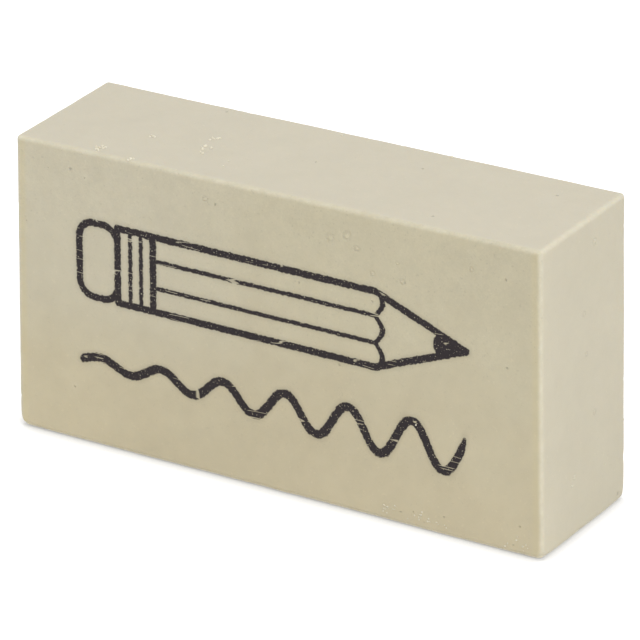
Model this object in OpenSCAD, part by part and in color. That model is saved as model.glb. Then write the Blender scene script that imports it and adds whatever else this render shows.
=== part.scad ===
// Soap eraser: one block of soft rubber, cut from a slab and lightly tumbled.
// The base is flat and the broad faces are parallel. The cut ends lean in a little
// towards the top, the top runs slightly downhill to the left, every edge is softly
// rounded and the corners are worn a little further back than the edges.
// Millimetres, +Z up, origin at the centre of the base. The front face looks along -Y.

/* [Block] */
// Overall length, measured near the base where the block is longest
block_length = 51.2; // [40:0.1:80]
// Thickness from the front face to the back face
block_depth = 14.2; // [10:0.1:30]
// Height at the right-hand end, the taller one
block_height = 27.6; // [20:0.1:40]

/* [Cut] */
// How much lower the top lies at the left-hand end
top_fall = 0.7; // [0:0.05:2]
// How far the left-hand end leans in between base and top
left_lean = 0.2; // [0:0.05:1.5]
// How far the right-hand end leans in between base and top
right_lean = 0.55; // [0:0.05:1.5]

/* [Edges] */
// Radius of the round along every edge
edge_radius = 0.45; // [0.2:0.05:2]
// How far each corner is worn back along its three edges, beyond the edge rounds
corner_wear = 0.4; // [0:0.05:1.5]

/* [Hidden] */

// Facets of a full round
round_facets = 32;
// A faceted ball of this radius reaches edge_radius along each axis
ball_radius = edge_radius / cos(180 / round_facets);

// Centres of the rounds in the front view, anticlockwise from the lower left
round_centres = [
    [-block_length / 2 + edge_radius, edge_radius],
    [block_length / 2 - edge_radius, edge_radius],
    [block_length / 2 - edge_radius - right_lean, block_height - edge_radius],
    [-block_length / 2 + edge_radius + left_lean, block_height - edge_radius - top_fall]
];
corner_count = len(round_centres);

// Distance of the rounds from the middle plane of the block
round_offset = block_depth / 2 - edge_radius;

// Point that lies corner_wear away from a, on the way to b
function worn_back(a, b) = a + corner_wear * (b - a) / norm(b - a);

// A ball whose centre is given in the front view, at a distance y from the middle plane
module edge_ball(centre, y) {
    translate([centre.x, y, centre.y])
        sphere(r = ball_radius, $fn = round_facets);
}

// The three balls that shape one corner: one on each edge that meets there
module worn_corner(index, side) {
    here = round_centres[index];
    next = round_centres[(index + 1) % corner_count];
    previous = round_centres[(index + corner_count - 1) % corner_count];
    edge_ball(worn_back(here, next), side * round_offset);
    edge_ball(worn_back(here, previous), side * round_offset);
    edge_ball(here, side * (round_offset - corner_wear));
}

module eraser_block() {
    color([0.83, 0.80, 0.70])
        hull()
            for (index = [0 : corner_count - 1], side = [-1, 1])
                worn_corner(index, side);
}

eraser_block();
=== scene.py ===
"""A soap eraser: one tumbled block of soft rubber with a printed front, on a white studio floor."""

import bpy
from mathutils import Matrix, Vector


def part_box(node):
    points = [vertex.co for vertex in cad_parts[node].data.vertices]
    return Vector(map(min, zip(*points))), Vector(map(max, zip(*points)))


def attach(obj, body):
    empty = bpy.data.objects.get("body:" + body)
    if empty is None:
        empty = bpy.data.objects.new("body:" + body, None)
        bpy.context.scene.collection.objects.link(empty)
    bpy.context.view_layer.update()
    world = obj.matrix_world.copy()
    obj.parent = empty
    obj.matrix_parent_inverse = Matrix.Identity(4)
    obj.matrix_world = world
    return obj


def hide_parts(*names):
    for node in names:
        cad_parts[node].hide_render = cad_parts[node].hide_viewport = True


bl_info = {
    "name": "Soap Eraser",
    "version": (1, 0, 0),
    "blender": (4, 5, 0),
    "location": "View3D > Sidebar > Eraser",
    "description": "Builds a printed soap eraser, its loose crumbs and the studio round it",
    "category": "Add Mesh",
}

import math

import bpy
from mathutils import Vector

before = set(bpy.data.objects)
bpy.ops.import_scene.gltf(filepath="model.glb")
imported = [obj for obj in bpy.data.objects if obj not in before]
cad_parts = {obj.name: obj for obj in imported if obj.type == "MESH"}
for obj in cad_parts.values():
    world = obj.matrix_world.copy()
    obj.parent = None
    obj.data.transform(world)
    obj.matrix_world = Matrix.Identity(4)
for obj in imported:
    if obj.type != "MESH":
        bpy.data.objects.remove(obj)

MM = 0.001
BLOCK_NODE = "eraser_block"
LOW, HIGH = (Vector(corner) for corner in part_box(BLOCK_NODE))
BLOCK_SIZE = HIGH - LOW
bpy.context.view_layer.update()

# What the block's mesh keeps on each point for its material: how far in from the nearest sides
# it lies along x, y and z in mm, and random blotches of three sizes.
INSET_ATTRIBUTE = "inset_mm"
CLOUD_ATTRIBUTE = "clouds"
BLOTCHES_PER_MM = (0.12, 0.3, 0.75)

# The block's mesh: rows of faces in the band along each edge, how many rounds of the base edge wide
# that band is, and the pitch of the rows elsewhere.
EDGE_ROWS = 8.0
BAND_ROUNDS = 1.5
ROW_PITCH = 0.28 * MM

# Width of the camera's sensor in mm, which the lens is given for
SENSOR_WIDTH = 36.0

# Marks of wear, each as its face, two places on that face in mm, and its radius in mm.
# The places are x and z on the front, x and y on the top, and y and z on the right end.
PITS = (
    ("top", -0.4, 0.2, 0.14),
    ("top", 8.0, 3.3, 0.15),
    ("top", 20.5, 3.8, 0.16),
    ("top", 13.8, -5.0, 0.16),
    ("top", -12.7, 6.0, 0.16),
    ("front", -20.0, 25.0, 0.14),
    ("front", -22.2, 24.6, 0.1),
    ("front", -18.5, 24.5, 0.1),
    ("front", -5.8, 24.9, 0.13),
    ("front", 2.3, 19.7, 0.13),
    ("front", 1.2, 18.2, 0.1),
    ("front", 6.2, 13.2, 0.15),
    ("front", 9.3, 19.6, 0.14),
    ("front", 12.4, 22.0, 0.13),
    ("front", 22.0, 16.6, 0.14),
    ("front", 21.8, 24.4, 0.16),
    ("front", 23.4, 2.7, 0.13),
    ("front", -19.9, 5.0, 0.12),
    ("front", -24.5, 19.3, 0.1),
    ("front", 12.1, 1.2, 0.1),
    ("front", 16.3, 1.8, 0.1),
    ("front", 13.3, 1.5, 0.08),
    ("front", 14.3, 0.8, 0.08),
    ("front", 22.8, 0.9, 0.08),
    ("end", 5.8, 0.9, 0.2),
)
SCARS = (
    ("front", 5.3, 24.4, 0.42),
    ("front", 6.9, 24.9, 0.42),
    ("front", 9.3, 22.1, 0.3),
    ("front", 12.1, 22.0, 0.28),
    ("front", -6.7, 25.2, 0.26),
    ("front", 18.6, 24.6, 0.22),
    ("front", 11.7, 23.6, 0.2),
    ("front", 7.8, 24.0, 0.3),
    ("end", 1.8, 25.2, 0.34),
    ("end", 0.0, 19.4, 0.26),
    ("end", 0.4, 15.7, 0.22),
    ("end", 1.8, 10.0, 0.28),
)
CRUMB_HEAPS = (
    ("top", -10.2, -1.7, 0.5),
    ("top", -10.5, 0.4, 0.4),
    ("top", -9.6, -2.7, 0.4),
    ("top", -15.3, -1.7, 0.4),
    ("top", -17.8, -6.1, 0.6),
    ("top", -14.2, -6.6, 0.4),
    ("front", 10.5, 1.1, 0.4),
    ("front", 11.3, 1.5, 0.25),
    ("front", 12.6, 0.9, 0.3),
    ("front", 13.8, 1.3, 0.45),
    ("front", 14.7, 1.0, 0.3),
    ("front", 15.7, 1.3, 0.4),
    ("front", 16.5, 1.0, 0.3),
    ("front", 22.2, 0.9, 0.3),
    ("front", 23.0, 1.3, 0.3),
    ("front", 23.8, 1.0, 0.4),
    ("end", -1.8, 5.4, 0.4),
)


# ---------------------------------------------------------------- node trees


class Wire:
    """A socket of a node tree. Sums and products of wires add Math nodes to that tree."""

    def __init__(self, tree, socket):
        self.tree = tree
        self.socket = socket

    def plug_into(self, target):
        self.tree.links.new(self.socket, target)

    def math(self, operation, *others):
        node = self.tree.nodes.new("ShaderNodeMath")
        node.operation = operation
        for target, value in zip(node.inputs, (self, *others)):
            plug(value, target)
        return Wire(self.tree, node.outputs[0])

    def ramp(self, low, high, to_low=0.0, to_high=1.0):
        """A smooth step from to_low, at low, to to_high, at high."""
        node = self.tree.nodes.new("ShaderNodeMapRange")
        node.interpolation_type = "SMOOTHSTEP"
        for name, value in (
            ("Value", self),
            ("From Min", low),
            ("From Max", high),
            ("To Min", to_low),
            ("To Max", to_high),
        ):
            plug(value, node.inputs[name])
        return Wire(self.tree, node.outputs["Result"])

    def __add__(self, other):
        return self.math("ADD", other)

    def __radd__(self, other):
        return self.math("ADD", other)

    def __sub__(self, other):
        return self.math("SUBTRACT", other)

    def __rsub__(self, other):
        return (self * -1.0) + other

    def __mul__(self, other):
        return self.math("MULTIPLY", other)

    def __rmul__(self, other):
        return self.math("MULTIPLY", other)

    def __truediv__(self, other):
        return self.math("DIVIDE", other)

    def __abs__(self):
        return self.math("ABSOLUTE")

    def least(self, other):
        return self.math("MINIMUM", other)

    def most(self, other):
        return self.math("MAXIMUM", other)


def plug(value, target):
    """Links a wire to a socket, or sets the socket to a plain value."""
    if isinstance(value, Wire):
        value.plug_into(target)
    else:
        target.default_value = value


def add_node(tree, kind, values=None, **settings):
    """A new node with its settings, and its input sockets filled by name."""
    node = tree.nodes.new(kind)
    for name, value in settings.items():
        setattr(node, name, value)
    for name, value in (values or {}).items():
        plug(value, node.inputs[name])
    return node


def out(tree, node, name=0):
    return Wire(tree, node.outputs[name])


def vector_math(tree, operation, *operands):
    """The result of a Vector Math node. The second operand of SCALE is a number."""
    node = tree.nodes.new("ShaderNodeVectorMath")
    node.operation = operation
    if operation == "SCALE":
        plug(operands[0], node.inputs["Vector"])
        plug(operands[1], node.inputs["Scale"])
    else:
        for target, value in zip(node.inputs, operands):
            plug(value, target)
    return out(tree, node, "Value" if operation == "DISTANCE" else "Vector")


def split(tree, vector):
    node = add_node(tree, "ShaderNodeSeparateXYZ", {"Vector": vector})
    return [out(tree, node, axis) for axis in "XYZ"]


def join(tree, *numbers):
    node = add_node(tree, "ShaderNodeCombineXYZ", dict(zip("XYZ", numbers)))
    return out(tree, node)


def noise(tree, place, scale, detail=2.0, roughness=0.5):
    """Smooth random values round 0.5 at that many blotches a unit."""
    values = {"Vector": place, "Scale": scale, "Detail": detail, "Roughness": roughness}
    return out(tree, add_node(tree, "ShaderNodeTexNoise", values), 0)


def union(*distances):
    """The distance to the nearest of several shapes."""
    nearest = distances[0]
    for distance in distances[1:]:
        nearest = nearest.least(distance)
    return nearest


def spot_centre(face, first, second, block):
    """The point in mm where a mark of wear sits on its leaning face."""
    length, depth, height = BLOCK_SIZE / MM
    if face == "front":
        return (first, -depth / 2, second)
    if face == "top":
        return (first, second, height - block.top_fall / MM * (0.5 - first / length))
    return (length / 2 - block.right_lean / MM * second / height, first, second)


def nearest_spot(tree, place, spots, block):
    """Distance to the nearest of those marks, as a share of its radius."""
    distances = []
    for face, first, second, radius in spots:
        centre = spot_centre(face, first, second, block)
        distances.append(vector_math(tree, "DISTANCE", place, centre) / radius)
    return union(*distances)


def new_geometry_tree(name, inputs):
    """A Geometry Nodes tree with those (name, kind, default) inputs, as (tree, wires by name)."""
    tree = bpy.data.node_groups.new(name, "GeometryNodeTree")
    tree.is_modifier = True
    for label, kind, default in inputs:
        socket = tree.interface.new_socket(label, in_out="INPUT", socket_type=kind)
        if default is not None:
            socket.default_value = default
    tree.interface.new_socket("Geometry", in_out="OUTPUT", socket_type="NodeSocketGeometry")
    entry = tree.nodes.new("NodeGroupInput")
    return tree, {label: out(tree, entry, label) for label, _, _ in inputs}


def end_geometry_tree(tree, geometry, material):
    """Ends the tree in real faces with their material."""
    real = add_node(tree, "GeometryNodeRealizeInstances", {"Geometry": geometry})
    painted = add_node(
        tree,
        "GeometryNodeSetMaterial",
        {"Geometry": out(tree, real), "Material": material},
    )
    out(tree, painted).plug_into(tree.nodes.new("NodeGroupOutput").inputs[0])


def grow(name, tree, values):
    """Runs a Geometry Nodes tree with those inputs and keeps its result as a plain mesh object."""
    seedling = bpy.data.objects.new(name + "_seedling", bpy.data.meshes.new(name + "_seedling"))
    bpy.context.scene.collection.objects.link(seedling)
    modifier = seedling.modifiers.new("Nodes", "NODES")
    modifier.node_group = tree
    for item in tree.interface.items_tree:
        if item.item_type == "SOCKET" and item.in_out == "INPUT" and item.name in values:
            modifier[item.identifier] = values[item.name]
    graph = bpy.context.evaluated_depsgraph_get()
    mesh = bpy.data.meshes.new_from_object(seedling.evaluated_get(graph), depsgraph=graph)
    seedling.modifiers.remove(modifier)
    bpy.data.objects.remove(seedling)
    if not mesh.polygons:
        raise RuntimeError(f"{name} came out empty")
    mesh.name = name
    piece = bpy.data.objects.new(name, mesh)
    bpy.context.scene.collection.objects.link(piece)
    return piece


# ---------------------------------------------------------------- the printed front


def stroke(distance, width):
    """Turns the distance to a line into the distance to the edge of its stroke."""
    return distance - width / 2


def box_distance(x, z, centre, half, rounding):
    """Distance to a rounded box outline, negative inside."""
    across = abs(x - centre[0]) - (half[0] - rounding)
    upward = abs(z - centre[1]) - (half[1] - rounding)
    outside = (across.most(0.0) * across.most(0.0) + upward.most(0.0) * upward.most(0.0)).math("SQRT")
    return outside + across.most(upward).least(0.0) - rounding


def segment_distance(x, z, start, end):
    """Distance to a straight line between two points."""
    run, rise = end[0] - start[0], end[1] - start[1]
    from_x, from_z = x - start[0], z - start[1]
    along = ((from_x * run + from_z * rise) / (run * run + rise * rise)).most(0.0).least(1.0)
    off_x, off_z = from_x - along * run, from_z - along * rise
    return (off_x * off_x + off_z * off_z).math("SQRT")


def wave_distance(x, z, start, end, level, swing, length):
    """Distance to a wavy line from start to end whose swing grows on the way."""
    turn = 2 * math.pi / length
    phase = (x - start) * turn
    head_start = 0.35 * (end - start)
    growing = (x - start).ramp(-head_start, end - start) * swing
    slope = phase.math("COSINE") * growing * turn
    off = abs(z - level - phase.math("SINE") * growing) / (slope * slope + 1.0).math("SQRT")
    beyond = (start - x).most(x - end).most(0.0)
    return (off * off + beyond * beyond).math("SQRT")


def motif_distance(x, z, p):
    """The printed mark, a plain pencil above a scribbled line, as the distance to its edge in mm."""
    line, fine = p.stroke / MM, p.fine_stroke / MM
    middle, half = p.pencil_height / MM, p.pencil_width / MM / 2
    cap, ferrule, body, cone, tip = (at / MM for at in p.pencil_stations)
    facet, lead_start = half * 0.36, cone + (tip - cone) * 0.68
    lead_bulge, lead_turn = 0.35, 1.5
    scallop_depth, cap_rounding = 0.7, 1.5
    thinner, thicker = line * 0.8, line * 1.2

    # The cut point: the slopes of its cone, the curved end of its lead and the paint's scallops
    off_axis = abs(z - middle)
    slant = math.hypot(half, tip - cone)
    in_cone = ((x - cone) * half + (off_axis - half) * (tip - cone)) / slant
    lead = lead_start - ((z - middle) * lead_turn).math("COSINE") * lead_bulge
    scallop = cone + abs(((z - middle) * (math.pi / 2 / facet)).math("COSINE")) * scallop_depth
    cap_centre, cap_half = ((cap + ferrule) / 2, 0.0), ((ferrule - cap) / 2, half)
    rubber = box_distance(x, off_axis, cap_centre, cap_half, cap_rounding)

    strokes = [
        stroke(abs(rubber), line),
        stroke(segment_distance(x, off_axis, (ferrule, half), (cone, half)), line),
        stroke(segment_distance(x, off_axis, (cone, half), (tip, 0.0)), line),
        stroke(abs(x - scallop), thinner).most(off_axis - half),
        stroke(segment_distance(x, off_axis, (body, facet), (cone, facet)), fine),
        (lead - x).most(in_cone),
        stroke(wave_distance(x, z, *(v / MM for v in p.scribble)), thicker),
    ]
    # The ferrule's bars, each as its share of the way along and its width
    for share, width in ((0.0, line), (0.36, fine), (0.66, fine), (1.0, line)):
        bar = ferrule + (body - ferrule) * share
        strokes.append(stroke(segment_distance(x, off_axis, (bar, 0.0), (bar, half)), width))
    return union(*strokes)


def add_print(tree, place, p):
    """Mask of the ink on the front face, with ragged edges, bald specks and hairline cracks."""
    x, y, z = split(tree, place)
    rag = (noise(tree, place, 2.4, roughness=0.7) - 0.5) * 0.3
    edge = motif_distance(x, z, p) + rag
    inked = edge.ramp(0.06, -0.07)
    on_front = y.ramp(0.0, -1.0)

    # Small specks are bald inside the lines and inked just outside them, over a thin haze
    speck = noise(tree, place, 6.5, detail=1.0, roughness=0.6).ramp(0.64, 0.73)
    spray = speck * edge.ramp(1.6, 0.1) * 0.4
    haze = edge.ramp(0.45, 0.0) * (rag + 0.14) * 0.8

    # Cracks run mostly along the block, and only in some places
    stretched = join(tree, x * 0.12, y, z * 1.15)
    crack = abs(noise(tree, stretched, 1.0, detail=0.0) - 0.5).ramp(0.016, 0.004)
    cracked = noise(tree, place, 0.9, detail=0.0).ramp(0.5, 0.6)
    worn = (speck * 0.7).most(crack * cracked * 0.8)
    return inked.most(spray.most(haze)) * (1.0 - worn) * on_front


# ---------------------------------------------------------------- materials


def new_material(name):
    """A node material with nothing in it yet, and its tree."""
    material = bpy.data.materials.new(name)
    material.use_nodes = True
    material.node_tree.nodes.clear()
    return material, material.node_tree


def end_material(tree, surface):
    """Ends a material in that shader."""
    out(tree, surface).plug_into(tree.nodes.new("ShaderNodeOutputMaterial").inputs["Surface"])


def object_place(tree):
    """Object coordinates in mm."""
    place = out(tree, tree.nodes.new("ShaderNodeTexCoord"), "Object")
    return vector_math(tree, "SCALE", place, 1.0 / MM)


def stored(tree, name):
    """The three numbers that the mesh keeps on each point under that name."""
    node = tree.nodes.new("ShaderNodeAttribute")
    node.attribute_name = name
    return split(tree, out(tree, node, "Vector"))


def mix_colour(tree, share, first, second):
    node = add_node(tree, "ShaderNodeMix", data_type="RGBA")
    plug(share, node.inputs["Factor"])
    for name, colour in (("A", first), ("B", second)):
        target = next(s for s in node.inputs if s.name == name and s.type == "RGBA")
        plug(colour, target)
    return out(tree, node, 2)


def shade(tree, colour, factor):
    """A colour made darker or lighter by a wire."""
    return vector_math(tree, "SCALE", colour, factor)


def rgba(colour):
    return (*colour, 1.0)


class RubberPlaces:
    """The wires that the rubber's colour, tone and relief are made from. Lengths are in mm."""

    def __init__(self, tree, place):
        self.x, self.y, self.z = split(tree, place)
        self.in_x, self.in_y, self.in_z = stored(tree, INSET_ATTRIBUTE)
        self.cloud, self.blotch, self.patch = stored(tree, CLOUD_ATTRIBUTE)
        self.mottle = noise(tree, place, 1.8, detail=1.0, roughness=0.65)
        self.grain = noise(tree, place, 7.0, detail=0.0)
        self.fleck = noise(tree, place, 4.3, detail=0.0)

        # The broad faces keep the slab's skin, which is warmer low down and scuffed high up
        self.skin = self.in_y.ramp(0.4, 0.05)
        self.end = self.in_x.ramp(0.4, 0.05) * (1.0 - self.skin)
        ragged_height = self.z + (self.cloud - 0.5) * 30.0
        self.low = ragged_height.ramp(25.0, 1.0)
        self.scuffed = ragged_height.ramp(14.0, 25.0) * self.skin


def rubber_colour(tree, at, block):
    """Yellower broad faces, paler cut sides with a painted sheen, and the palest edges, rubbed and
    with a painted highlight.
    """
    high_left = at.x.ramp(4.0, -14.0) * at.z.ramp(6.0, 16.0) * 0.85
    rim = abs(at.in_x - 0.6).ramp(0.55, 0.1) * 0.55
    face = mix_colour(tree, at.low, rgba(block.skin_colour), rgba(block.warm_colour))
    face = mix_colour(tree, high_left, face, rgba(block.cool_colour))
    face = mix_colour(tree, rim, face, rgba(block.rim_colour))
    # Painted sheen: the cut sides and ends are painted paler and greyer than the broad faces, standing
    # for the sheen that they catch
    side = mix_colour(tree, at.end, rgba(block.cut_colour_with_sheen), rgba(block.end_colour_with_sheen))
    colour = mix_colour(tree, at.skin, side, face)

    # The middle one of the three insets is the distance from the nearest edge
    insets = at.in_x + at.in_y + at.in_z
    deepest = at.in_x.most(at.in_y).most(at.in_z)
    from_edge = insets - deepest - at.in_x.least(at.in_y).least(at.in_z)
    # Painted highlight: the pale colour along the edges is rubbed wear and also the highlight the
    # rounds catch, weaker along the length than near the ends
    less_inwards = at.in_x.ramp(1.5, 0.6, 0.65, 1.0)
    worn = from_edge.ramp(0.55, 0.04) * (at.mottle * 0.7 + 0.45) * less_inwards
    return mix_colour(tree, worn, colour, rgba(block.worn_and_highlight_colour))


def rubber_marks(tree, at, block):
    """Masks of the pits, of each scar's ring and pale middle, and of dark and pale flecks."""
    # The lists name places on the front and right end. The back and left end get them turned over.
    on_back = at.in_y.ramp(0.2, 0.1) * at.y.ramp(-0.1, 0.1)
    on_left = at.in_x.ramp(0.2, 0.1) * at.x.ramp(0.1, -0.1)
    turn = 1.0 - on_back.most(on_left) * 2.0
    wobble, jitter = (at.mottle - 0.5) * 0.4, (at.grain - 0.5) * 0.14
    ragged = join(tree, at.x * turn + wobble, at.y * turn + jitter, at.z + wobble * 0.6 - jitter)
    pit = nearest_spot(tree, ragged, PITS, block).ramp(1.0, 0.5)
    from_scar = nearest_spot(tree, ragged, SCARS, block)
    ring = from_scar.ramp(1.25, 0.95) * from_scar.ramp(0.35, 0.8) * at.grain.ramp(0.34, 0.5)
    blister = from_scar.ramp(0.6, 0.3)
    return pit, ring, blister, at.fleck.ramp(0.77, 0.82), at.fleck.ramp(0.22, 0.17)


def rubber_tone(at, marks):
    """How much lighter or darker than its colour the rubber is, round 1."""
    pit, ring, blister, dark, pale = marks
    uneven = (at.cloud - 0.5) * 0.05 + (at.blotch - 0.5) * 0.05 + (at.patch - 0.5) * 0.05
    speckle = (at.mottle - 0.5) * (at.scuffed * 0.05 + 0.03)
    fine_speckle = (at.grain - 0.5) * (at.scuffed * 0.06 + 0.018)

    # Painted light and shade on the broad faces: lighter towards the left end and the foot, darker
    # high on the right, and darker in a patch low down left of the middle
    face_painted_light_left = at.x.ramp(0.0, -24.0) * 0.03
    face_painted_light_foot = at.z.ramp(9.0, 0.0) * 0.03
    face_painted_shade_high_right = at.x.ramp(4.0, 24.0) * at.z.ramp(10.0, 26.0) * 0.03
    face_darker_patch = abs(at.x + 8.0).ramp(12.0, 2.0) * at.z.ramp(9.0, 2.0) * 0.035
    # Painted highlight on the ends, fading from the front edge over a few mm, and painted shade low
    # down, darker towards the back and lighter towards the front
    end_painted_highlight_front = at.y.ramp(-2.0, -7.4) * 0.045
    end_painted_shade_foot = at.z.ramp(9.0, 3.0) * at.y * 0.006
    # Painted light on the round along the base, which faces the floor and would otherwise render
    # darker
    base_round_painted_light = at.in_z.ramp(0.5, 0.0) * at.z.ramp(0.7, 0.1) * 0.34

    tone = 1.0 + uneven * (at.skin * 0.9 + 1.0) + speckle + fine_speckle
    tone = tone + (face_painted_light_left + face_painted_light_foot - face_painted_shade_high_right - face_darker_patch) * at.skin
    tone = tone + (end_painted_highlight_front - end_painted_shade_foot) * at.end + base_round_painted_light
    # Painted shade: the pits are painted darker, standing for the shade inside them; the dark and pale
    # flecks are the rubber's own
    tone = tone - pit * 0.22 - dark * (at.scuffed * 0.05 + 0.04)
    return tone + pale * 0.05 + blister * 0.06 - ring * 0.035


def rubber_relief(at, marks):
    """Height of the fine surface, for the bump."""
    pit, ring, blister, _, _ = marks
    skin_texture = at.mottle * 0.35 + at.grain * (at.scuffed * 0.12 + 0.13)
    return skin_texture - pit * 2.0 - ring + blister * 1.2


def soap_rubber(block, printing):
    """Soft matte rubber with worn edges under a painted highlight, specks, pits and scars, painted
    light and shade, and the ink on its front.
    """
    material, tree = new_material("Soap rubber")
    place = object_place(tree)
    at = RubberPlaces(tree, place)
    marks = rubber_marks(tree, at, block)
    rubber = shade(tree, rubber_colour(tree, at, block), rubber_tone(at, marks))
    ink = add_print(tree, place, printing)
    ink_colour = shade(tree, tuple(printing.ink_colour), 0.7 + at.mottle * 0.6)
    bump = add_node(
        tree,
        "ShaderNodeBump",
        {"Height": rubber_relief(at, marks), "Distance": 0.05 * MM, "Strength": 0.6},
    )
    surface = add_node(
        tree,
        "ShaderNodeBsdfPrincipled",
        {
            "Base Color": mix_colour(tree, ink, rubber, ink_colour),
            "Roughness": 0.86 - ink * 0.1 + (at.mottle - 0.5) * 0.14,
            "Normal": out(tree, bump),
            "Specular IOR Level": 0.3,
            "Subsurface Weight": block.translucency,
            "Subsurface Radius": (1.0, 0.75, 0.45),
            "Subsurface Scale": 0.9 * MM,
        },
    )
    end_material(tree, surface)
    return material


def crumb_rubber(block):
    """The pale, dusty surface of a rubbed-off crumb, with painted shade near the floor and painted
    light higher up.
    """
    material, tree = new_material("Crumb rubber")
    place = object_place(tree)
    dust = 0.9 + noise(tree, place, 6.0) * 0.25
    height = split(tree, place)[2]
    # Painted light and shade: each crumb is darker near the floor and lighter high up on the block
    colour = shade(tree, tuple(block.crumb_colour), dust * height.ramp(2.0, 22.0, 0.92, 1.08))
    surface = add_node(
        tree,
        "ShaderNodeBsdfPrincipled",
        {"Base Color": colour, "Roughness": 0.9, "Specular IOR Level": 0.3},
    )
    end_material(tree, surface)
    return material


# ---------------------------------------------------------------- the block


def spread_rows(p, size, band, rows, count):
    """Moves evenly spaced rows of a unit cube so that the outermost crowd into a band at each side."""
    row = (p + 0.5) * count
    inward = row.least(count - row)
    pitch = (size - band * 2.0) / (count - rows * 2.0)
    inset = inward.least(rows) * (band / rows) + (inward - rows).most(0.0) * pitch
    return p.math("SIGN") * (size * 0.5 - inset)


def store(tree, geometry, name, vector):
    """Keeps a vector on each point of a mesh, for the material to read by name."""
    node = add_node(
        tree,
        "GeometryNodeStoreNamedAttribute",
        {"Geometry": geometry, "Name": name},
        data_type="FLOAT_VECTOR",
        domain="POINT",
    )
    plug(vector, node.inputs["Value"])
    return out(tree, node)


def worn_radius(tree, given, in_height, insets, in_mm):
    """The edge's round at each point: larger at the base and at the lower corners, and nicked."""
    edge_radius = in_height.ramp(0.0, 0.05, given["Base edge radius"], given["Edge radius"])
    sharpest, bluntest = given["Top corner radius"], given["Base corner radius"]
    corner_radius = in_height.ramp(0.2, 0.8, bluntest, sharpest)
    to_corner = insets[0] + insets[1] + insets[2]
    corner = to_corner.ramp(given["Corner reach"], 0.0)
    wander = (noise(tree, in_mm, 0.22) - 0.5) * 0.5
    nick = noise(tree, in_mm, 0.8, detail=3.0, roughness=0.6).ramp(0.56, 0.78)
    radius = edge_radius * (1.0 + wander) + nick * given["Nick depth"]
    return radius + corner * (corner_radius - edge_radius)


def rounded_off(tree, point, half, radius, hollow):
    """Moves a point of a cuboid's surface onto its round, and inwards where the face is hollow."""
    core = vector_math(tree, "SUBTRACT", half, join(tree, radius, radius, radius))
    inner = vector_math(tree, "MINIMUM", vector_math(tree, "ABSOLUTE", point), core)
    inner = vector_math(tree, "MULTIPLY", inner, vector_math(tree, "SIGN", point))
    outward = vector_math(tree, "NORMALIZE", vector_math(tree, "SUBTRACT", point, inner))
    return vector_math(tree, "ADD", inner, vector_math(tree, "SCALE", outward, radius - hollow))


def leaned(tree, point, given):
    """Stands the block on its base, leans its ends in and lets its top fall to the left."""
    x, y, z = split(tree, point)
    along = x / given["Length"] + 0.5
    up = z / given["Height"] + 0.5
    lean = (given["Left lean"] * (1.0 - along) - given["Right lean"] * along) * up
    top = given["Height"] - given["Top fall"] * (1.0 - along)
    return join(tree, x + lean, y, up * top)


def block_tree():
    """Geometry Nodes for the block: a dense cuboid, rounded, worn, leaned and made a little uneven."""
    distance = "NodeSocketFloat"
    tree, given = new_geometry_tree(
        "Tumbled block",
        [
            ("Length", distance, 0.05),
            ("Depth", distance, 0.014),
            ("Height", distance, 0.027),
            ("Top fall", distance, 0.0),
            ("Left lean", distance, 0.0),
            ("Right lean", distance, 0.0),
            ("Edge radius", distance, 0.0005),
            ("Base edge radius", distance, 0.0006),
            ("Top corner radius", distance, 0.0005),
            ("Base corner radius", distance, 0.001),
            ("Corner reach", distance, 0.003),
            ("Nick depth", distance, 0.0),
            ("Unevenness", distance, 0.0),
            ("Edge rows", distance, EDGE_ROWS),
            ("Row pitch", distance, ROW_PITCH),
            ("Material", "NodeSocketMaterial", None),
        ],
    )
    sizes = [given["Length"], given["Depth"], given["Height"]]
    band = given["Base edge radius"] * BAND_ROUNDS
    rows = given["Edge rows"]
    counts = [((s - band * 2.0) / given["Row pitch"]).math("ROUND") + rows * 2.0 for s in sizes]
    cube = add_node(tree, "GeometryNodeMeshCube", {"Size": (1.0, 1.0, 1.0)})
    for axis, count in zip("XYZ", counts):
        (count + 1.0).plug_into(cube.inputs["Vertices " + axis])

    start = split(tree, out(tree, tree.nodes.new("GeometryNodeInputPosition")))
    spread = [spread_rows(p, s, band, rows, n) for p, s, n in zip(start, sizes, counts)]
    insets = [s * 0.5 - abs(p) for p, s in zip(spread, sizes)]
    point = join(tree, *spread)
    half = vector_math(tree, "SCALE", join(tree, *sizes), 0.5)
    in_mm = vector_math(tree, "SCALE", point, 1.0 / MM)
    radius = worn_radius(tree, given, spread[2] / given["Height"] + 0.5, insets, in_mm)
    hollow = noise(tree, in_mm, 0.1, detail=3.0).ramp(0.3, 0.8) * given["Unevenness"]
    placed = leaned(tree, rounded_off(tree, point, half, radius, hollow), given)

    clouds = [noise(tree, in_mm, scale, roughness=0.6) for scale in BLOTCHES_PER_MM]
    insets_mm = [inset * (1.0 / MM) for inset in insets]
    marked = store(tree, out(tree, cube, "Mesh"), INSET_ATTRIBUTE, join(tree, *insets_mm))
    marked = store(tree, marked, CLOUD_ATTRIBUTE, join(tree, *clouds))
    moved = add_node(tree, "GeometryNodeSetPosition", {"Geometry": marked, "Position": placed})
    smooth = add_node(tree, "GeometryNodeSetShadeSmooth", {"Geometry": out(tree, moved)})
    end_geometry_tree(tree, out(tree, smooth), given["Material"])
    return tree


def random_vector(tree, low, high, seed):
    """A vector for each crumb, each of its numbers between low and high."""
    node = tree.nodes.new("FunctionNodeRandomValue")
    node.data_type = "FLOAT_VECTOR"
    ends = [socket for socket in node.inputs if socket.type == "VECTOR"]
    plug(low, ends[0])
    plug(high, ends[1])
    plug(seed, node.inputs["Seed"])
    return Wire(tree, next(socket for socket in node.outputs if socket.type == "VECTOR"))


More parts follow.
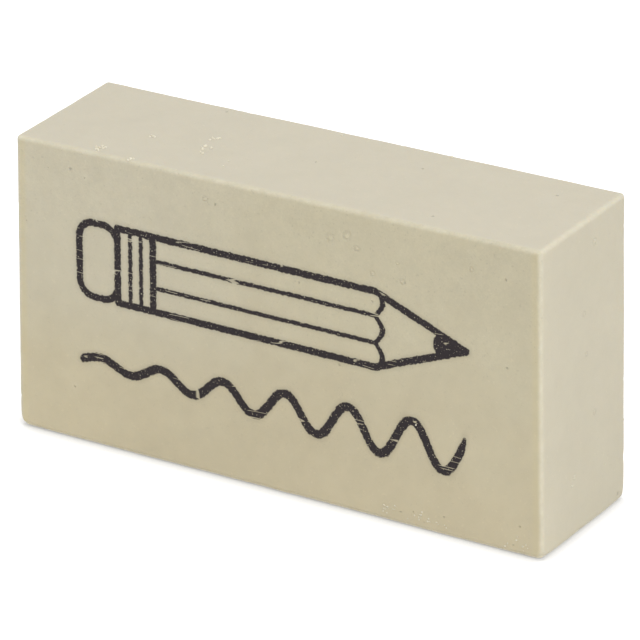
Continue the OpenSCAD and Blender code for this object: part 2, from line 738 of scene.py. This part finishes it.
def crumb_tree(block):
    """Geometry Nodes for the crumbs: small lumps scattered over a mesh where it is dusty."""
    tree, given = new_geometry_tree(
        "Scattered crumbs",
        [
            ("Block", "NodeSocketObject", None),
            ("Stray crumbs", "NodeSocketFloat", 1.0),
            ("Heaped crumbs", "NodeSocketFloat", 1.0),
            ("Smallest radius", "NodeSocketFloat", 0.0),
            ("Largest radius", "NodeSocketFloat", 0.0),
            ("Seed", "NodeSocketInt", 0),
            ("Material", "NodeSocketMaterial", None),
        ],
    )
    source = add_node(tree, "GeometryNodeObjectInfo", {"Object": given["Block"]})
    place = out(tree, tree.nodes.new("GeometryNodeInputPosition"))
    in_mm = vector_math(tree, "SCALE", place, 1.0 / MM)
    height = split(tree, in_mm)[2]
    dusty = noise(tree, in_mm, 0.12).ramp(0.45, 0.65) * given["Stray crumbs"]
    heaped = nearest_spot(tree, in_mm, CRUMB_HEAPS, block).ramp(1.0, 0.3) * given["Heaped crumbs"]
    above_floor = height.ramp(0.5, 0.6)
    scattered = add_node(
        tree,
        "GeometryNodeDistributePointsOnFaces",
        {
            "Mesh": out(tree, source, "Geometry"),
            "Density": (dusty + heaped) * above_floor,
            "Seed": given["Seed"],
        },
    )
    lump = add_node(tree, "GeometryNodeMeshIcoSphere", {"Radius": 1.0, "Subdivisions": 2})
    lump_place = out(tree, tree.nodes.new("GeometryNodeInputPosition"))
    bulge = noise(tree, lump_place, 1.1) * 0.9 + 0.55
    lumpy = add_node(
        tree,
        "GeometryNodeSetPosition",
        {
            "Geometry": out(tree, lump, "Mesh"),
            "Position": vector_math(tree, "SCALE", lump_place, bulge),
        },
    )
    small, large = given["Smallest radius"], given["Largest radius"]
    low, high = join(tree, small, small, small), join(tree, large, large, large)
    size = random_vector(tree, low, high, given["Seed"])
    larger_on_top = height.ramp(20.0, 26.0, 1.0, 1.5)
    spin = random_vector(tree, (0.0, 0.0, 0.0), (math.tau, math.tau, math.tau), given["Seed"] + 1.0)
    placed = add_node(
        tree,
        "GeometryNodeInstanceOnPoints",
        {
            "Points": out(tree, scattered, "Points"),
            "Instance": out(tree, lumpy),
            "Scale": vector_math(tree, "SCALE", size, larger_on_top),
            "Rotation": spin,
        },
    )
    end_geometry_tree(tree, out(tree, placed), given["Material"])
    return tree


# ---------------------------------------------------------------- settings


def length(name, description, default):
    return bpy.props.FloatProperty(
        name=name, description=description, default=default, unit="LENGTH", precision=5
    )


def tint(name, description, default):
    return bpy.props.FloatVectorProperty(
        name=name, description=description, default=default, subtype="COLOR", min=0.0, max=1.0
    )


def angle(name, description, degrees):
    return bpy.props.FloatProperty(
        name=name, description=description, default=math.radians(degrees), subtype="ANGLE"
    )


def number(name, description, default, low=0.0, **limits):
    return bpy.props.FloatProperty(
        name=name, description=description, default=default, min=low, **limits
    )


def lengths(name, description, defaults):
    return bpy.props.FloatVectorProperty(
        name=name, description=description, default=defaults, size=len(defaults),
        unit="LENGTH", precision=5,
    )


class BlockSettings(bpy.types.PropertyGroup):
    """Sizes and finish of the rubber block"""

    top_fall: length("Top fall", "How much lower the top lies at the left end", 0.7 * MM)
    left_lean: length("Left lean", "How far the left end leans in towards the top", 0.2 * MM)
    right_lean: length("Right lean", "How far the right end leans in towards the top", 0.55 * MM)
    edge_radius: length("Edge radius", "Round along the edges", 0.4 * MM)
    base_edge_radius: length("Base edge radius", "Round along the lower edges", 0.62 * MM)
    top_corner_radius: length("Top corner radius", "Round at the upper corners", 0.38 * MM)
    base_corner_radius: length("Base corner radius", "Round at the lower corners", 0.78 * MM)
    corner_reach: length("Corner reach", "How far the corner's wear runs along its edges", 1.6 * MM)
    nick_depth: length("Nick depth", "Extra round where an edge is nicked", 0.15 * MM)
    unevenness: length("Unevenness", "Depth of the soft hollows in the faces", 0.05 * MM)
    skin_colour: tint("Skin", "Broad faces, where the slab's skin is left", (0.594, 0.541, 0.39))
    warm_colour: tint("Warm skin", "Broad faces towards the base", (0.6, 0.532, 0.372))
    cool_colour: tint("Cool skin", "Broad faces towards the upper left", (0.605, 0.557, 0.424))
    rim_colour: tint("Rim", "Yellower line just inside the upright edges", (0.625, 0.555, 0.36))
    # Painted sheen: the cut sides and ends are painted paler and greyer than the broad faces
    cut_colour_with_sheen: tint("Cut sides", "Top and base, where the slab was cut", (0.628, 0.58, 0.461))
    end_colour_with_sheen: tint("Cut ends", "Ends, where the strip was cut", (0.627, 0.578, 0.45))
    # Rubbed edges, painted paler also as the highlight along them
    worn_and_highlight_colour: tint("Worn edges", "Edges, where the skin is rubbed off", (0.7, 0.656, 0.52))
    crumb_colour: tint("Crumbs", "Loose crumbs of rubber", (0.725, 0.685, 0.555))
    translucency: number("Translucency", "How much light wanders under the surface", 0.2, max=1.0)
    crumb_radii: lengths("Crumb radii", "Smallest and largest crumb", (0.04 * MM, 0.105 * MM))
    stray_crumbs: number("Stray crumbs", "Crumbs on a square metre of dusty face", 1.5e4)
    heaped_crumbs: number("Heaped crumbs", "Crumbs on a square metre where they lie in heaps", 1.8e7)
    crumb_seed: bpy.props.IntProperty(
        name="Crumb seed", description="Another number scatters the crumbs another way", default=4
    )


class PrintSettings(bpy.types.PropertyGroup):
    """Sizes and colour of the mark on the front"""

    ink_colour: tint("Ink", "The printed mark", (0.024, 0.018, 0.02))
    stroke: length("Stroke", "Width of the main lines", 0.68 * MM)
    fine_stroke: length("Fine stroke", "Width of the lines along the pencil", 0.42 * MM)
    pencil_height: length("Pencil height", "Level of the pencil's middle line", 17.2 * MM)
    pencil_width: length("Pencil width", "Pencil's size across", 6.8 * MM)
    pencil_stations: lengths(
        "Pencil stations",
        "Ends of the rubber cap, ferrule, body and cone, and the tip, along the length",
        (-19.2 * MM, -15.4 * MM, -11.9 * MM, 9.6 * MM, 18.2 * MM),
    )
    scribble: lengths(
        "Scribble",
        "Start, end, level, swing and wavelength of the line under the pencil",
        (-18.9 * MM, 17.9 * MM, 7.9 * MM, 1.9 * MM, 6.1 * MM),
    )


class StageSettings(bpy.types.PropertyGroup):
    """Floor, light and camera"""

    floor_size: length("Floor size", "Side of the square floor", 4.0)
    floor_colour: tint("Floor", "White studio paper", (0.78, 0.78, 0.78))
    floor_glow: number("Floor glow", "White added to the floor as the camera sees it", 0.56, max=1.0)
    contact_reach: length("Contact shade reach", "How far the shade under the block spreads", 1.7 * MM)
    contact_shade: number(
        "Contact shade", "How light the floor stays where it is most hemmed in", 0.58, max=1.0
    )
    sky_strength: number("Sky", "Strength of the even light from all round", 0.69)
    lamp_distance: length("Lamp distance", "From the block to each lamp", 0.6)
    lamp_size: length("Lamp size", "Side of each lamp's square", 0.35)
    key_power: number("Key lamp", "Power of the main lamp", 1.556, unit="POWER")
    key_azimuth: angle("Key azimuth", "Turn of the main lamp from the front to the right", 50.8)
    key_elevation: angle("Key elevation", "Height of the main lamp above the horizon", 42.1)
    fill_power: number("Fill lamp", "Power of the lamp behind the left end", 0.55, unit="POWER")
    fill_azimuth: angle("Fill azimuth", "Turn of the fill lamp from the front to the right", -120.0)
    fill_elevation: angle("Fill elevation", "Height of the fill lamp above the horizon", 25.0)
    camera_azimuth: angle("Camera azimuth", "Turn of the camera from the front to the right", 31.012)
    camera_elevation: angle("Camera elevation", "Height of the camera above the horizon", 24.315)
    camera_distance: length("Camera distance", "From the camera to the point it looks at", 0.54941)
    camera_lens: number("Lens", "Focal length for a 36 mm sensor, in mm", 369.57, low=1.0)
    camera_aim: bpy.props.FloatVectorProperty(
        name="Camera aim", description="Point that the camera looks at",
        default=(0.2 * MM, -0.18 * MM, 13.175 * MM), subtype="TRANSLATION", precision=5,
    )


def from_above(azimuth, elevation):
    """Unit vector towards a place that far round to the right of the front, and that high."""
    flat = math.cos(elevation)
    return Vector((math.sin(azimuth) * flat, -math.cos(azimuth) * flat, math.sin(elevation)))


def look_from(thing, target, direction, distance):
    """Places a lamp or camera that far from its target and turns it there."""
    thing.location = target + direction * distance
    thing.rotation_euler = (-direction).to_track_quat("-Z", "Y").to_euler()


# ---------------------------------------------------------------- operators


class ERASER_OT_block(bpy.types.Operator):
    """Build the rubber block with its print"""

    bl_idname = "eraser.block"
    bl_label = "Rubber block"

    def execute(self, context):
        block = context.scene.eraser_block
        printing = context.scene.eraser_print
        piece = grow(
            "rubber_block",
            block_tree(),
            {
                "Length": BLOCK_SIZE.x,
                "Depth": BLOCK_SIZE.y,
                "Height": BLOCK_SIZE.z,
                "Top fall": block.top_fall,
                "Left lean": block.left_lean,
                "Right lean": block.right_lean,
                "Edge radius": block.edge_radius,
                "Base edge radius": block.base_edge_radius,
                "Top corner radius": block.top_corner_radius,
                "Base corner radius": block.base_corner_radius,
                "Corner reach": block.corner_reach,
                "Nick depth": block.nick_depth,
                "Unevenness": block.unevenness,
                "Edge rows": EDGE_ROWS,
                "Row pitch": ROW_PITCH,
                "Material": soap_rubber(block, printing),
            },
        )
        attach(piece, "root")
        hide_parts(BLOCK_NODE)
        return {"FINISHED"}


class ERASER_OT_crumbs(bpy.types.Operator):
    """Scatter crumbs of rubber over the block"""

    bl_idname = "eraser.crumbs"
    bl_label = "Crumbs"

    def execute(self, context):
        block = context.scene.eraser_block
        if "rubber_block" not in bpy.data.objects:
            raise RuntimeError("the crumbs need the rubber block")
        piece = grow(
            "rubber_crumbs",
            crumb_tree(block),
            {
                "Block": bpy.data.objects["rubber_block"],
                "Stray crumbs": block.stray_crumbs,
                "Heaped crumbs": block.heaped_crumbs,
                "Smallest radius": block.crumb_radii[0],
                "Largest radius": block.crumb_radii[1],
                "Seed": block.crumb_seed,
                "Material": crumb_rubber(block),
            },
        )
        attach(piece, "root")
        return {"FINISHED"}


class ERASER_OT_stage(bpy.types.Operator):
    """Set up the floor, the light and the camera"""

    bl_idname = "eraser.stage"
    bl_label = "Stage"

    def execute(self, context):
        stage = context.scene.eraser_stage
        add_floor(stage)
        add_light(stage)
        add_camera(stage)
        context.scene.view_settings.view_transform = "Standard"
        return {"FINISHED"}


def add_floor(stage):
    """White paper that glows a little for the camera, and stays grey only close to the block."""
    side = stage.floor_size / 2
    mesh = bpy.data.meshes.new("floor")
    corners = [(-side, -side, 0), (side, -side, 0), (side, side, 0), (-side, side, 0)]
    mesh.from_pydata(corners, [], [(0, 1, 2, 3)])
    floor = bpy.data.objects.new("floor", mesh)
    bpy.context.scene.collection.objects.link(floor)
    material, tree = new_material("Studio paper")
    nearby = add_node(
        tree, "ShaderNodeAmbientOcclusion", {"Distance": stage.contact_reach}, samples=4
    )
    fall_off, depth = 1.6, 1.3
    closed = (1.0 - out(tree, nearby, "AO")).math("POWER", fall_off)
    openness = (1.0 - closed * depth).most(stage.contact_shade)
    paper = add_node(tree, "ShaderNodeBsdfDiffuse", {"Color": rgba(stage.floor_colour)})
    shaded_colour = shade(tree, tuple(stage.floor_colour), openness)
    shaded = add_node(tree, "ShaderNodeBsdfDiffuse", {"Color": shaded_colour})
    glow = add_node(tree, "ShaderNodeEmission", {"Strength": openness * stage.floor_glow})
    bright = tree.nodes.new("ShaderNodeAddShader")
    out(tree, shaded).plug_into(bright.inputs[0])
    out(tree, glow).plug_into(bright.inputs[1])
    seen = add_node(tree, "ShaderNodeMixShader", {"Fac": seen_directly(tree)})
    out(tree, paper).plug_into(seen.inputs[1])
    out(tree, bright).plug_into(seen.inputs[2])
    end_material(tree, seen)
    mesh.materials.append(material)


def seen_directly(tree):
    """1 for a ray from the camera, a mirror or glass, and 0 for one that only carries light."""
    path = tree.nodes.new("ShaderNodeLightPath")
    rays = [out(tree, path, f"Is {kind} Ray") for kind in ("Camera", "Glossy", "Transmission")]
    return rays[0].most(rays[1]).most(rays[2])


def add_softbox(name, size, power, azimuth, elevation, distance):
    """A square lamp turned towards the middle of the block."""
    data = bpy.data.lights.new(name, "AREA")
    data.shape = "SQUARE"
    data.size = size
    data.energy = power
    lamp = bpy.data.objects.new(name, data)
    bpy.context.scene.collection.objects.link(lamp)
    middle = Vector((0.0, 0.0, BLOCK_SIZE.z / 2))
    look_from(lamp, middle, from_above(azimuth, elevation), distance)


def add_light(stage):
    """A large soft lamp from the upper right, a weak one from behind, and an even white surround."""
    for name, power, azimuth, elevation in (
        ("key_lamp", stage.key_power, stage.key_azimuth, stage.key_elevation),
        ("fill_lamp", stage.fill_power, stage.fill_azimuth, stage.fill_elevation),
    ):
        add_softbox(name, stage.lamp_size, power, azimuth, elevation, stage.lamp_distance)
    world = bpy.data.worlds.new("Studio")
    world.use_nodes = True
    tree = world.node_tree
    tree.nodes.clear()
    strength = seen_directly(tree) * (1.0 - stage.sky_strength) + stage.sky_strength
    sky = add_node(tree, "ShaderNodeBackground", {"Strength": strength})
    sky.inputs["Color"].default_value = (1.0, 1.0, 1.0, 1.0)
    out(tree, sky).plug_into(tree.nodes.new("ShaderNodeOutputWorld").inputs["Surface"])
    bpy.context.scene.world = world


def add_camera(stage):
    """A long lens that looks down on the front and the right end."""
    data = bpy.data.cameras.new("camera")
    data.lens = stage.camera_lens
    data.sensor_width = SENSOR_WIDTH
    data.clip_start = 0.01
    camera = bpy.data.objects.new("camera", data)
    bpy.context.scene.collection.objects.link(camera)
    direction = from_above(stage.camera_azimuth, stage.camera_elevation)
    look_from(camera, Vector(stage.camera_aim), direction, stage.camera_distance)
    bpy.context.scene.camera = camera


class ERASER_PT_panel(bpy.types.Panel):
    """Lists the eraser's pieces and their settings"""

    bl_idname = "ERASER_PT_panel"
    bl_label = "Soap Eraser"
    bl_space_type = "VIEW_3D"
    bl_region_type = "UI"
    bl_category = "Eraser"

    def draw(self, context):
        for operator in OPERATORS:
            self.layout.operator(operator.bl_idname)
        for group in GROUPS:
            settings = getattr(context.scene, group)
            for name in settings.__annotations__:
                self.layout.prop(settings, name)


OPERATORS = (ERASER_OT_stage, ERASER_OT_block, ERASER_OT_crumbs)
GROUPS = {
    "eraser_block": BlockSettings,
    "eraser_print": PrintSettings,
    "eraser_stage": StageSettings,
}


def register():
    for cls in (*GROUPS.values(), *OPERATORS, ERASER_PT_panel):
        bpy.utils.register_class(cls)
    for name, cls in GROUPS.items():
        setattr(bpy.types.Scene, name, bpy.props.PointerProperty(type=cls))


def unregister():
    for name in GROUPS:
        delattr(bpy.types.Scene, name)
    for cls in reversed((*GROUPS.values(), *OPERATORS, ERASER_PT_panel)):
        bpy.utils.unregister_class(cls)


def main():
    register()
    bpy.ops.eraser.stage()
    bpy.ops.eraser.block()
    bpy.ops.eraser.crumbs()


if __name__ == "__main__":
    main()
